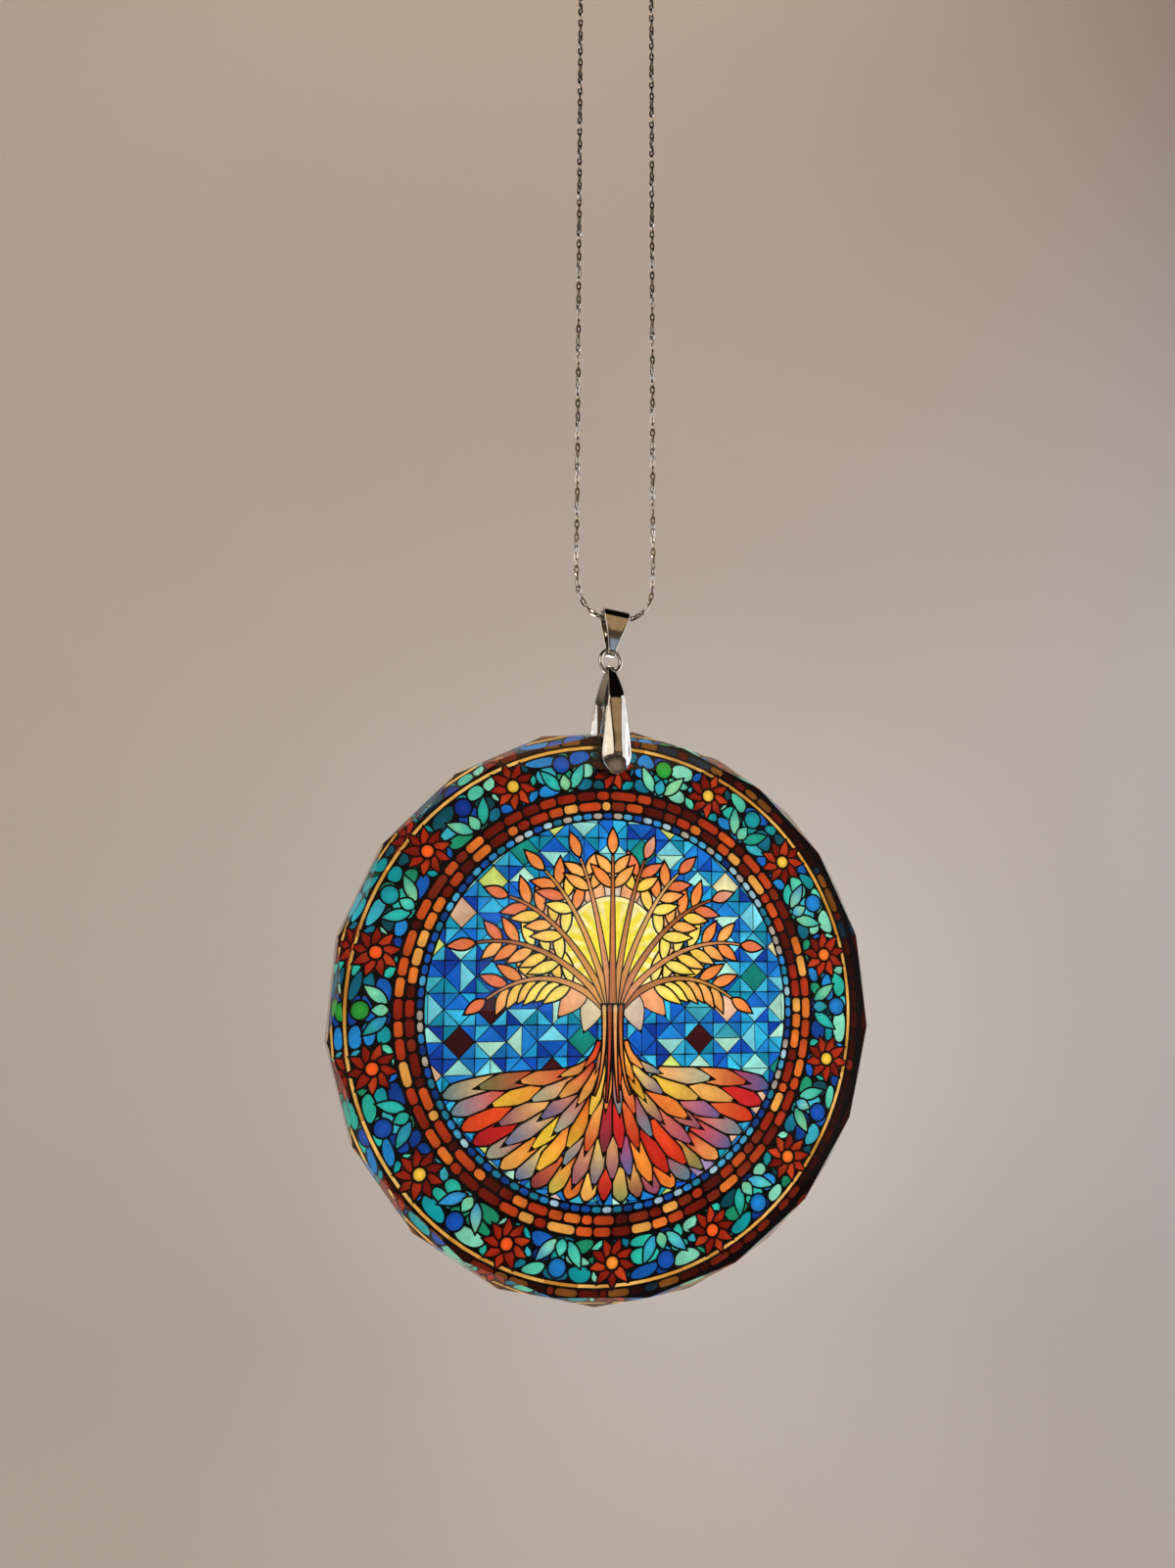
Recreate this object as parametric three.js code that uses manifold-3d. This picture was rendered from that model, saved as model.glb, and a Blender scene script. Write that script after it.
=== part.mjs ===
// A hanging crystal suncatcher: a faceted glass disc on a pinch bail, a jump ring, a strap bail and a chain.
// Millimetres, +Z up, the picture side faces -Y. The origin is where the chain hangs on its hook.
import * as THREE from 'three';
import { mergeVertices } from 'three/addons/utils/BufferGeometryUtils.js';
import Module from 'manifold-3d';

const wasm = await Module();
wasm.setup();

// Driving dimensions. Heights are above the middle of the disc, until the whole is hung from the chain.
const facets = 18;
const discThickness = 6;
const bevelDepth = 3; // of the front bevel's facets; behind them the rim runs straight back
const frontRadius = 38.6; // to the corners of the front face
const rimRadius = 40; // to the corners of the rim, turned half a step from the front face
const facetTurn = 4.05; // degrees from straight up to the nearest rim corner, clockwise from the front
const holeHeight = 35;
const holeDiameter = 2.2;
const holeSide = -0.9; // the hole and the pinch bail sit a little left of the middle
const ringSide = -0.7;
const strapSide = -0.65; // of the strap's foot
const strapTilt = THREE.MathUtils.degToRad(6.5); // its top leans to the middle, where the chain runs

const pinchThickness = 0.36;
const pinchNeckWidth = 1.2;
const pinchLeafWidth = 4.45;
const pinchTipHeight = 33;
const pinchWidestHeight = 36.2;
const pinchDome = 1.1; // how far a leaf bulges outwards in its middle
const pinchLean = THREE.MathUtils.degToRad(42); // how far the sides spread below the bend
const kneeHeight = 44; // below this the sides run straight down
const pinchKneePull = 1; // how softly the sides turn in above the knee and below the bend
const pinchBendPull = 2.6;
const pinchGap = 0.35; // between a side and the face of the disc
const pegDiameter = 1.2;
const pegDepth = 1.1; // how far each peg reaches into the drilled hole

const ringHeight = 50.3;
const ringRadius = 1.68; // to the middle of the wire
const ringWire = 0.68;
const ringTurn = THREE.MathUtils.degToRad(10); // about the upright, away from the disc's face

const strapThickness = 0.36;
const strapTop = 58.2;
const strapTopWidth = 4;
const strapFootWidth = 1.3;
const strapTopRadius = 1.3; // of the round top, to the middle of the strap

const chainDiameter = 0.85;
const clearance = 0.28; // between pieces that hang on one another

// The right half of the chain's loop as [x, height], from inside the strap bail up to its top
const chainHalf = [
  [0.2, 56.85], [1.9, 56.85], [3.4, 57.45], [4.7, 58.6], [5.6, 60.4], [6.0, 63.2], [6.0, 74],
  [6.0, 92], [6.0, 110], [6.0, 128], [6.0, 146], [6.0, 160], [6.0, 168], [5.2, 171], [3.0, 173.2],
];
const chainTop = [0, 174];

// Worked out from the above
const strapTopHeight = strapTop - strapThickness / 2 - strapTopRadius;
const strapFootHeight = ringHeight + ringRadius;
const strapFootRadius = ringWire / 2 + clearance + strapThickness / 2;
const pinchBendHeight = ringHeight - ringRadius;
const pinchBendRadius = ringWire / 2 + clearance + pinchThickness / 2;
const pinchStandOff = discThickness / 2 + pinchGap + pinchThickness / 2;
const hangHeight = chainTop[1] - chainDiameter / 2;

const crystal = new THREE.MeshStandardMaterial({
  color: 0xe9f2f4, roughness: 0.03, metalness: 0, transparent: true, opacity: 0.55,
});
const chrome = new THREE.MeshStandardMaterial({ color: 0xc9c9cb, roughness: 0.08, metalness: 1 });
const silver = new THREE.MeshStandardMaterial({ color: 0xbdbcb8, roughness: 0.2, metalness: 1 });

function toSolid(geometry) {
  const bare = geometry.clone();
  bare.deleteAttribute('normal');
  bare.deleteAttribute('uv');
  const merged = mergeVertices(bare, 1e-5);
  const vertProperties = new Float32Array(merged.attributes.position.array);
  const triVerts = new Uint32Array(merged.index.array);
  return new wasm.Manifold(new wasm.Mesh({ numProp: 3, vertProperties, triVerts }));
}

function toGeometry(solid) {
  const mesh = solid.getMesh();
  const geometry = new THREE.BufferGeometry();
  geometry.setAttribute('position', new THREE.BufferAttribute(mesh.vertProperties, 3));
  geometry.setIndex(new THREE.BufferAttribute(mesh.triVerts, 1));
  geometry.computeVertexNormals();
  return geometry;
}

function indexed(points, triangles) {
  const geometry = new THREE.BufferGeometry();
  geometry.setAttribute('position', new THREE.Float32BufferAttribute(points.flat(), 3));
  geometry.setIndex(triangles.flat());
  return geometry;
}

// A peg or drill along Y between two depths
function peg(diameter, height, fromY, toY) {
  const geometry = new THREE.CylinderGeometry(diameter / 2, diameter / 2, toY - fromY, 20);
  return geometry.translate(0, (fromY + toY) / 2, height);
}

// The disc's corners: the front face's lie midway between the rim's, so the bevel is all triangles
function discCorner(radius, y, step) {
  const angle = THREE.MathUtils.degToRad(facetTurn + (360 / facets) * step);
  return [radius * Math.sin(angle), y, radius * Math.cos(angle)];
}

function crystalDisc() {
  const steps = [...Array(facets).keys()];
  const [frontY, backY] = [-discThickness / 2, discThickness / 2];
  const points = [
    ...steps.map((k) => discCorner(frontRadius, frontY, k + 0.5)),
    ...steps.map((k) => discCorner(rimRadius, frontY + bevelDepth, k)),
    ...steps.map((k) => discCorner(rimRadius, backY, k)),
    [0, frontY, 0],
    [0, backY, 0],
  ];
  const front = (k) => k % facets;
  const rim = (k) => facets + (k % facets);
  const back = (k) => 2 * facets + (k % facets);
  const triangles = steps.flatMap((k) => [
    [3 * facets, front(k + 1), front(k)],
    [3 * facets + 1, back(k), back(k + 1)],
    [front(k), rim(k + 1), rim(k)],
    [front(k), front(k + 1), rim(k + 1)],
    [rim(k), rim(k + 1), back(k + 1)],
    [rim(k), back(k + 1), back(k)],
  ]);
  const drill = peg(holeDiameter, holeHeight, -discThickness, discThickness).translate(holeSide, 0, 0);
  return toGeometry(toSolid(indexed(points, triangles)).subtract(toSolid(drill)));
}

// A bent sheet. Each station gives a point of its path in Y and Z, the direction out of the bend, the
// strip's width there and how far its middle bulges out. The strip is a closed loop or has two capped ends.
function bentStrip(stations, thickness, across, closed) {
  const points = stations.flatMap(({ at, out, width, bulge }) => {
    const row = (side) => [...Array(across + 1).keys()].map((i) => {
      const share = (2 * i) / across - 1;
      const lift = side * thickness / 2 + bulge * (1 - share * share);
      return [share * width / 2, at.x + out.x * lift, at.y + out.y * lift];
    });
    return [...row(1), ...row(-1).reverse()];
  });
  const size = 2 * (across + 1);
  const count = stations.length;
  const triangles = [];
  for (let s = 0; s < (closed ? count : count - 1); s += 1) {
    for (let i = 0; i < size; i += 1) {
      const [a, b] = [s * size + i, s * size + ((i + 1) % size)];
      const [c, d] = [((s + 1) % count) * size + i, ((s + 1) % count) * size + ((i + 1) % size)];
      triangles.push([a, b, d], [a, d, c]);
    }
  }
  if (!closed) {
    const last = (count - 1) * size;
    for (let i = 0; i < across; i += 1) {
      const [a, b] = [i, i + 1];
      const [c, d] = [size - 1 - i, size - 2 - i];
      triangles.push([a, c, d], [a, d, b]);
      triangles.push([last + a, last + d, last + c], [last + a, last + b, last + d]);
    }
  }
  return indexed(points, triangles);
}

// The width of the pinch bail's strip at a height: a neck that swells evenly into a leaf with a round end
function pinchWidth(height) {
  if (height < pinchWidestHeight) {
    const down = (pinchWidestHeight - height) / (pinchWidestHeight - pinchTipHeight);
    return Math.max(pinchLeafWidth * Math.max(1 - down ** 2.3, 0) ** 0.6, 0.5);
  }
  const up = Math.min((height - pinchWidestHeight) / (pinchBendHeight - pinchWidestHeight), 1);
  return pinchNeckWidth + (pinchLeafWidth - pinchNeckWidth) * (1 - up ** 1.15);
}

// The strip's path seen from the side: up along the front face, over the ring and down along the back face
function pinchPath() {
  const [startY, startZ] = [pinchBendRadius * Math.cos(pinchLean), pinchBendRadius * Math.sin(pinchLean)];
  const [pullY, pullZ] = [pinchBendPull * Math.sin(pinchLean), pinchBendPull * Math.cos(pinchLean)];
  const bendStart = pinchBendHeight + startZ;
  const kneePull = kneeHeight + pinchKneePull;
  const path = new THREE.Path();
  path.moveTo(-pinchStandOff, pinchTipHeight);
  path.lineTo(-pinchStandOff, kneeHeight);
  path.bezierCurveTo(-pinchStandOff, kneePull, -startY - pullY, bendStart - pullZ, -startY, bendStart);
  path.absarc(0, pinchBendHeight, pinchBendRadius, Math.PI - pinchLean, pinchLean, true);
  path.bezierCurveTo(startY + pullY, bendStart - pullZ, pinchStandOff, kneePull, pinchStandOff, kneeHeight);
  path.lineTo(pinchStandOff, pinchTipHeight);
  return path;
}

function pinchBail() {
  const path = pinchPath();
  const rows = 64;
  const stations = [...Array(rows + 1).keys()].map((k) => {
    const share = 0.5 - 0.5 * Math.cos((Math.PI * k) / rows);
    const at = path.getPointAt(share);
    const along = path.getTangentAt(share);
    const width = pinchWidth(at.y);
    const bulge = pinchDome * (width / pinchLeafWidth) ** 3;
    return { at, out: new THREE.Vector2(-along.y, along.x), width, bulge };
  });
  const reach = pinchStandOff + pinchDome / 2;
  const inner = discThickness / 2 - pegDepth;
  const strip = toSolid(bentStrip(stations, pinchThickness, 8, false));
  const frontPeg = toSolid(peg(pegDiameter, holeHeight, -reach, -inner));
  const backPeg = toSolid(peg(pegDiameter, holeHeight, inner, reach));
  return toGeometry(strip.add(frontPeg).add(backPeg)).translate(holeSide, 0, 0);
}

function jumpRing() {
  const ring = new THREE.TorusGeometry(ringRadius, ringWire / 2, 12, 36);
  return ring.rotateX(Math.PI / 2).rotateZ(ringTurn).translate(ringSide, 0, ringHeight);
}

// The strap runs round a wide bend at the top, down two straight sides and round a narrow bend at the foot
function strapBail() {
  const stations = [];
  const rise = strapTopHeight - strapFootHeight;
  const lean = Math.asin((strapTopRadius - strapFootRadius) / rise);
  const bend = (centre, radius, from, to, rows) => {
    for (let k = 0; k <= rows; k += 1) {
      const turn = from + ((to - from) * k) / rows;
      const out = new THREE.Vector2(-Math.cos(turn), Math.sin(turn));
      const at = new THREE.Vector2(radius * out.x, centre + radius * out.y);
      const up = THREE.MathUtils.clamp((at.y - strapFootHeight) / rise, 0, 1);
      const width = strapFootWidth + (strapTopWidth - strapFootWidth) * up ** 1.15;
      stations.push({ at, out, width, bulge: 0 });
    }
  };
  const side = (sign, up) => {
    const out = new THREE.Vector2(sign * Math.cos(lean), -Math.sin(lean));
    const height = strapFootHeight + (strapTopHeight - strapFootHeight) * up;
    const radius = strapFootRadius + (strapTopRadius - strapFootRadius) * up;
    const at = new THREE.Vector2(radius * out.x, height + radius * out.y);
    const width = strapFootWidth + (strapTopWidth - strapFootWidth) * up ** 1.15;
    stations.push({ at, out, width, bulge: 0 });
  };
  const shares = [0.2, 0.4, 0.6, 0.8];
  bend(strapTopHeight, strapTopRadius, -lean, Math.PI + lean, 14);
  [...shares].reverse().forEach((up) => side(1, up));
  bend(strapFootHeight, strapFootRadius, Math.PI + lean, 2 * Math.PI - lean, 10);
  shares.forEach((up) => side(-1, up));
  const strap = bentStrip(stations, strapThickness, 2, true).translate(0, 0, -strapFootHeight);
  return strap.rotateY(strapTilt).translate(strapSide, 0, strapFootHeight);
}

function chainTube() {
  const right = chainHalf.map(([x, z]) => new THREE.Vector3(x, 0, z));
  const left = [...chainHalf].reverse().map(([x, z]) => new THREE.Vector3(-x, 0, z));
  const top = new THREE.Vector3(chainTop[0], 0, chainTop[1]);
  const path = new THREE.CatmullRomCurve3([...right, top, ...left], false, 'centripetal');
  const section = new THREE.Shape();
  section.absarc(0, 0, chainDiameter / 2, 0, 2 * Math.PI);
  return new THREE.ExtrudeGeometry(section, { steps: 80, curveSegments: 4, extrudePath: path });
}

function piece(name, geometry, material) {
  const mesh = new THREE.Mesh(geometry, material);
  mesh.name = name;
  return mesh;
}

const hung = new THREE.Group();
hung.position.z = -hangHeight;
hung.add(
  piece('crystal_disc', crystalDisc(), crystal),
  piece('pinch_bail', pinchBail(), chrome),
  piece('jump_ring', jumpRing(), chrome),
  piece('strap_bail', strapBail(), chrome),
  piece('chain', chainTube(), silver),
);

const suncatcher = new THREE.Group();
suncatcher.add(hung);

export default suncatcher;
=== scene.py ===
import math
import bpy
import numpy as np
from mathutils import Matrix, Vector
from mathutils.geometry import delaunay_2d_cdt


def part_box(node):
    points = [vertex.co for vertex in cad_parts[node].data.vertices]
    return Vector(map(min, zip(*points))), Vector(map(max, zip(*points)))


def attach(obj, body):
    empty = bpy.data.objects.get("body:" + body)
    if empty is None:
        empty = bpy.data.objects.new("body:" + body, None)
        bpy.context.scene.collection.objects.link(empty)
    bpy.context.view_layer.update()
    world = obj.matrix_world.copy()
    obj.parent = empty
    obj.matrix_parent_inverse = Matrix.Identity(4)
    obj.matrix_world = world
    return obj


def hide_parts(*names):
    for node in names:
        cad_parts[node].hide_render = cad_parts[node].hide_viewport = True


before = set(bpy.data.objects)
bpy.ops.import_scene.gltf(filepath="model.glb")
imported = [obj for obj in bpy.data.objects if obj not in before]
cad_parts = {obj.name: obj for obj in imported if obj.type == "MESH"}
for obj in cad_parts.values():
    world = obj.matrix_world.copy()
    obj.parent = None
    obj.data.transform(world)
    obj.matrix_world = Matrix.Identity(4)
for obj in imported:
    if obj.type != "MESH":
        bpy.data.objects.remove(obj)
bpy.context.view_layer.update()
mm = 0.001
discLow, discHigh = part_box("crystal_disc")
discMiddle = (np.array(discLow) + np.array(discHigh)) / 2
rng = np.random.default_rng(18)
print("frame loaded, disc middle", discMiddle)


# sRGB hex to linear light
def linear(hexText):
    srgb = np.array([int(hexText[i:i + 2], 16) for i in (1, 3, 5)]) / 255
    return np.where(srgb <= 0.04045, srgb / 12.92, ((srgb + 0.055) / 1.055) ** 2.4)


# one node with its settings and links: sockets by name or number, values plain or a socket to link
def addNode(tree, kind, inputs=None, **settings):
    node = tree.nodes.new(kind)
    for name, value in settings.items():
        setattr(node, name, value)
    for key, value in (inputs or {}).items():
        if isinstance(value, bpy.types.NodeSocket):
            tree.links.new(value, node.inputs[key])
        else:
            node.inputs[key].default_value = value
    return node


def newMaterial(name):
    material = bpy.data.materials.new(name)
    material.use_nodes = True
    tree = material.node_tree
    tree.nodes.clear()
    return material, tree, addNode(tree, "ShaderNodeOutputMaterial")


def colour4(hexText):
    return (*linear(hexText), 1.0)


# a mesh piece from arrays in millimetres measured from the disc's middle
def newPiece(name, points, faces, materials, smooth=True):
    mesh = bpy.data.meshes.new(name)
    mesh.from_pydata((np.asarray(points) * mm + discMiddle).tolist(), [], [list(f) for f in faces])
    mesh.polygons.foreach_set("use_smooth", np.full(len(mesh.polygons), smooth))
    for material in materials:
        mesh.materials.append(material)
    mesh.update()
    piece = bpy.data.objects.new(name, mesh)
    bpy.context.scene.collection.objects.link(piece)
    return piece


# quads of a grid of rows and columns, wrapped round where it closes
def gridFaces(rows, columns, closeRows, closeColumns):
    r, c = np.meshgrid(np.arange(rows - (not closeRows)), np.arange(columns - (not closeColumns)),
                       indexing="ij")
    r, c = r.ravel(), c.ravel()
    r2, c2 = (r + 1) % rows, (c + 1) % columns
    return np.stack([r * columns + c, r * columns + c2, r2 * columns + c2, r2 * columns + c], 1)


# CAMERA: near the disc's height and to its left, tilted up so that the chain shows
cameraPlan = {
    "place": (-54.0, -160.24, 7.48),  # millimetres from the disc's middle
    "turn": 17.28,
    "tilt": 8.27,
    "roll": 0.31,
    "focal": 1200,  # in pixels of a 1601 pixel high picture
    "pictureHeight": 1601,
}


def makeCamera(plan):
    turn, tilt, roll = (math.radians(plan[k]) for k in ("turn", "tilt", "roll"))
    ahead = Vector((math.sin(turn) * math.cos(tilt), math.cos(turn) * math.cos(tilt), math.sin(tilt)))
    right = Vector((math.cos(turn), -math.sin(turn), 0))
    up = right.cross(ahead)
    right, up = right * math.cos(roll) + up * math.sin(roll), up * math.cos(roll) - right * math.sin(roll)
    data = bpy.data.cameras.new("camera")
    data.lens = data.sensor_width * plan["focal"] / plan["pictureHeight"]
    data.clip_start = 0.005
    camera = bpy.data.objects.new("camera", data)
    place = Vector(discMiddle) + Vector(plan["place"]) * mm
    camera.matrix_world = Matrix.Translation(place) @ Matrix((right, up, -ahead)).transposed().to_4x4()
    bpy.context.scene.collection.objects.link(camera)
    bpy.context.scene.camera = camera


makeCamera(cameraPlan)
print("camera placed")


# CHAIN: fine oval links, each turned a little over a quarter round from the last, so that it sparkles
chainPlan = {
    # the right half of the loop as x and height, from inside the strap bail up to its top
    "half": [(0.2, 56.85), (1.9, 56.85), (3.4, 57.45), (4.7, 58.6), (5.6, 60.4), (6.0, 63.2), (6.0, 74),
             (6.0, 92), (6.0, 110), (6.0, 128), (6.0, 146), (6.0, 160), (6.0, 168), (5.2, 171), (3.0, 173.2)],
    "top": (0, 174),
    "diameter": 0.85,
    "pitch": 1.0,
    "linkLength": 1.62,
    "linkWidth": 0.86,
    "wire": 0.31,
    "twist": 104,  # degrees from one link to the next
    "around": 12,
    "sides": 4,
}


# a smooth curve through points: the centripetal Catmull-Rom blend of each four neighbours
def smoothRoute(points, steps):
    p = np.asarray(points, float)
    p = np.vstack([2 * p[0] - p[1], p, 2 * p[-1] - p[-2]])
    knots = np.concatenate([[0], np.cumsum(np.linalg.norm(np.diff(p, axis=0), axis=1) ** 0.5)])
    p0, p1, p2, p3 = (p[i:len(p) - 3 + i, None] for i in range(4))
    t0, t1, t2, t3 = (knots[i:len(p) - 3 + i, None, None] for i in range(4))
    t = t1 + (t2 - t1) * np.linspace(0, 1, steps, endpoint=False)[None, :, None]
    a1 = ((t1 - t) * p0 + (t - t0) * p1) / (t1 - t0)
    a2 = ((t2 - t) * p1 + (t - t1) * p2) / (t2 - t1)
    a3 = ((t3 - t) * p2 + (t - t2) * p3) / (t3 - t2)
    b1 = ((t2 - t) * a1 + (t - t0) * a2) / (t2 - t0)
    b2 = ((t3 - t) * a2 + (t - t1) * a3) / (t3 - t1)
    curve = ((t2 - t) * b1 + (t - t1) * b2) / (t2 - t1)
    return np.vstack([curve.reshape(-1, p.shape[1]), p[-2]])


# a cubic Bezier curve: four points blended by the third powers of the way along
def bezier(a, b, c, d, steps=24):
    t = np.linspace(0, 1, steps)[:, None]
    a, b, c, d = (np.array(p, float) for p in (a, b, c, d))
    return (1 - t) ** 3 * a + 3 * t * (1 - t) ** 2 * b + 3 * t ** 2 * (1 - t) * c + t ** 3 * d


def alongRoute(route):
    return np.concatenate([[0], np.cumsum(np.linalg.norm(np.diff(route, axis=0), axis=1))])


# points and directions at distances along a route
def sampleRoute(route, distances):
    run = alongRoute(route)
    slope = np.gradient(route, run, axis=0)
    at = np.stack([np.interp(distances, run, route[:, i]) for i in range(route.shape[1])], 1)
    ahead = np.stack([np.interp(distances, run, slope[:, i]) for i in range(route.shape[1])], 1)
    return at, ahead / np.linalg.norm(ahead, axis=1, keepdims=True)


# each link is a round wire carried along an oval, set on the route and turned about it
def makeChain(plan, material):
    half = np.array(plan["half"])
    flat = np.vstack([half, [plan["top"]], half[::-1] * (-1, 1)])
    route = np.insert(smoothRoute(flat, 12), 1, 0, axis=1)
    length = alongRoute(route)[-1]
    count = int(length / plan["pitch"])
    at, ahead = sampleRoute(route, (np.arange(count) + 0.5) * length / count)
    side = np.cross(ahead, (0, 1, 0))
    turn = np.radians(plan["twist"]) * np.arange(count)[:, None]
    cross = side * np.cos(turn) + np.array((0, 1, 0)) * np.sin(turn)
    up = np.cross(ahead, cross)
    phi = np.linspace(0, 2 * np.pi, plan["around"], endpoint=False)[:, None]
    psi = np.linspace(0, 2 * np.pi, plan["sides"], endpoint=False)[None, :] + np.pi / 4
    reach = plan["wire"] / 2
    a, b = plan["linkLength"] / 2 - reach, plan["linkWidth"] / 2 - reach
    outX, outY = np.cos(phi) / a, np.sin(phi) / b
    outX, outY = (v / np.hypot(outX, outY) for v in (outX, outY))
    x = a * np.cos(phi) + reach * np.cos(psi) * outX
    y = b * np.sin(phi) + reach * np.cos(psi) * outY
    z = reach * np.sin(psi) + 0 * phi
    local = np.stack([x, y, z], -1).reshape(-1, 3)
    axes = np.stack([ahead, cross, up], 1)
    points = at[:, None] + np.einsum("pi,nij->npj", local, axes)
    one = gridFaces(plan["around"], plan["sides"], True, True)
    faces = (one[None] + (np.arange(count) * len(local))[:, None, None]).reshape(-1, 4)
    piece = newPiece("chain_links", points.reshape(-1, 3), faces, [material], smooth=False)
    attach(piece, "root")
    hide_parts("chain")
    print("chain", count, "links,", round(length, 1), "mm")


# polished metal: rhodium plate over brass, so bright and barely warm, with hairline wear from handling
def platedMetal(name, hexText, roughness, wear):
    material, tree, out = newMaterial(name)
    coords = addNode(tree, "ShaderNodeTexCoord").outputs["Object"]
    smear = addNode(tree, "ShaderNodeTexNoise", {"Vector": coords, "Scale": 1 / (1.6 * mm), "Detail": 3.0})
    rough = addNode(tree, "ShaderNodeMapRange", {"Value": smear.outputs[0], "From Min": 0.3, "From Max": 0.7,
                                                 "To Min": roughness, "To Max": roughness + wear})
    tint = addNode(tree, "ShaderNodeMix", {0: smear.outputs[0], 6: colour4(hexText), 7: colour4("#b9b2a8")},
                   data_type="RGBA")
    metal = addNode(tree, "ShaderNodeBsdfPrincipled", {"Base Color": tint.outputs[2], "Metallic": 1.0,
                                                       "Roughness": rough.outputs[0]})
    tree.links.new(metal.outputs[0], out.inputs["Surface"])
    return material


polishedPlate = platedMetal("polished_rhodium_plate", "#dcdad8", 0.05, 0.09)
chainPlate = platedMetal("bright_cut_silver_plate", "#bdb7af", 0.12, 0.1)
makeChain(chainPlan, chainPlate)


# PICTURE: a stained glass roundel printed on the disc's back, as panes of colour between black leads. A tree
# stands before the sun in a window of blue lights, with bricks and a border of flowers round the window.
# Sizes are millimetres from the disc's middle, and angles degrees clockwise from straight up.
picturePlan = {
    "lead": 0.3,
    "fineLead": 0.2,
    "windowRadius": 26.8,
    "latticeCell": 4.4,
    "sun": {"centre": (0, 8.4), "radius": 7.4, "petals": 18, "petalReach": 12.6, "petalWidth": 3.5,
            "petalFoot": 0.75, "leadShare": 1.025, "rimShare": 1.0, "heartShare": 0.92,
            "rays": 22, "rayShares": (0.3, 0.9)},
    "tree": {"fork": -1.5, "boughs": (0, 21, 43, 65, 88, 111), "inside": 21.8, "boughWidth": 1.25,
             "boughTip": 0.4, "rise": 4.5, "drooping": 0.84, "steps": 24,
             "leaves": 7, "bare": 0.46, "clear": 6.8, "leafLength": 5.3, "leafWidth": 1.75, "leafTurn": 54},
    "trunk": {"top": 0.6, "foot": -13.5, "strips": (-1, -0.5, 0, 0.5, 1), "half": 1.7, "flare": 3.6,
              "waist": -4, "knee": -9, "tip": 0.35},
    "roots": {"top": -4.5, "spread": 67, "rows": (6, 10, 14, 19, 24), "neck": 2.4, "hip": (4.0, -11.0),
              "slip": 0.06, "overlap": 0.08, "point": 0.13},
    "squareRow": {"band": (26.95, 28.0), "count": 112},
    "brickRows": [{"band": (28.15, 29.6), "count": 74}, {"band": (29.7, 31.15), "count": 66}],
    "mosaic": {"band": (31.35, 37.2), "rows": 3, "count": 70},
    "goldLine": {"band": (37.3, 37.72), "count": 48},
    "ground": {"radius": 39.2, "count": 36},
    "edgeTiles": {"band": (37.9, 39.1), "count": 96},
    "flowers": {"radius": 34.5, "count": 14, "reach": 3.6, "petals": 9, "petalWidth": 1.55, "back": 2.7,
                "heart": 1.05},
    "pebbles": {"radius": 35.5, "size": 1.35},
    # each spray's leaves: the turn of its tip, and the radii where it starts and stops
    "sprays": {"leaves": ((-5.5, 31.7, 35.4), (5.5, 31.7, 35.4), (0, 31.5, 34.2)), "width": 1.8},
}
lead = "#060507"
palettes = {
    "sky": ["#0b4fc0", "#1268d2", "#1b86dc", "#1fa3e0", "#38b8e6", "#0a3da6", "#1577c8", "#0f8fb4"],
    "skyLight": ["#6fd0ea", "#2fb4e4", "#8fdcd8", "#1a7fd6", "#0d5cc8", "#a6e0cf", "#39a6c0", "#1468d0"],
    "jewel": ["#c9b6b8", "#e3dfae", "#c6dc74", "#9a86b8", "#3a1016", "#dcb79a", "#12837c"],
    "leaf": ["#f0e27c", "#eed24e", "#efb764", "#ec9a52", "#e27638", "#d9785e", "#e0b39a"],
    "sun": ["#e6d838", "#ebdf4a", "#dfcd30"],
    "sunRim": ["#f4efb4", "#f1e9a0"],
    "sunPetal": ["#eab184", "#e39a68", "#efc39a"],
    "palePetal": ["#d2c0b8", "#dcd2b0", "#c8b0ac"],
    "bark": ["#d9a054", "#b8703a", "#e2b870", "#96512c", "#c98a5c"],
    "rootWarm": ["#e8c43c", "#e98a34", "#dd4a22", "#c62a1c", "#eda85c", "#e9b45a", "#d96a34", "#b8202a"],
    "rootCool": ["#4f8f9e", "#2c6aa8", "#8a4a78", "#6a8a58", "#5a5a9a", "#9ab4a0", "#c8cc58", "#7a3a4a"],
    "brick": ["#8e2412", "#a83418", "#6a170c", "#c4521f", "#d9742c", "#4a100a", "#7c2a16", "#b5421c",
              "#e3a24c"],
    "square": ["#154fae", "#2a86d0", "#0f3a84", "#46a8d8", "#1c7a9c", "#9cc4dc", "#b0a8a0"],
    "mosaic": ["#0f9aa6", "#28b8a8", "#1560c0", "#1f86d4", "#54ccb0", "#0c3f96", "#7ed6bc", "#1d8f6a",
               "#0f6c8a", "#36b0c8", "#0a4a5a"],
    "petal": ["#8e1d0e", "#a92c14", "#74140a", "#c0401c"],
    "heart": ["#dd6e26", "#e88a30", "#d9b13c", "#e2571f"],
    "spray": ["#2ab4b0", "#58cbb4", "#2f90cf", "#1d9a86", "#86d4a4"],
    "pebble": ["#1450b4", "#0d2f8a", "#1c78c8", "#2a9a3a", "#18a0b0"],
    "edge": ["#3a0c08", "#5a140c", "#240605", "#6e2010", "#0f2a3c", "#7a4a1c", "#2e0a08"],
    "gold": ["#cf9a44", "#ddb05e", "#b98334"],
}


def polar(radius, angle):
    turn = np.radians(angle)
    return np.stack([radius * np.sin(turn), radius * np.cos(turn)], -1)


# a piece of a ring between two radii and two angles
def ringPart(band, start, stop):
    angles = np.linspace(start, stop, max(2, int(abs(stop - start) / 4) + 2))
    return np.vstack([polar(band[1], angles), polar(band[0], angles[::-1])])


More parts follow.
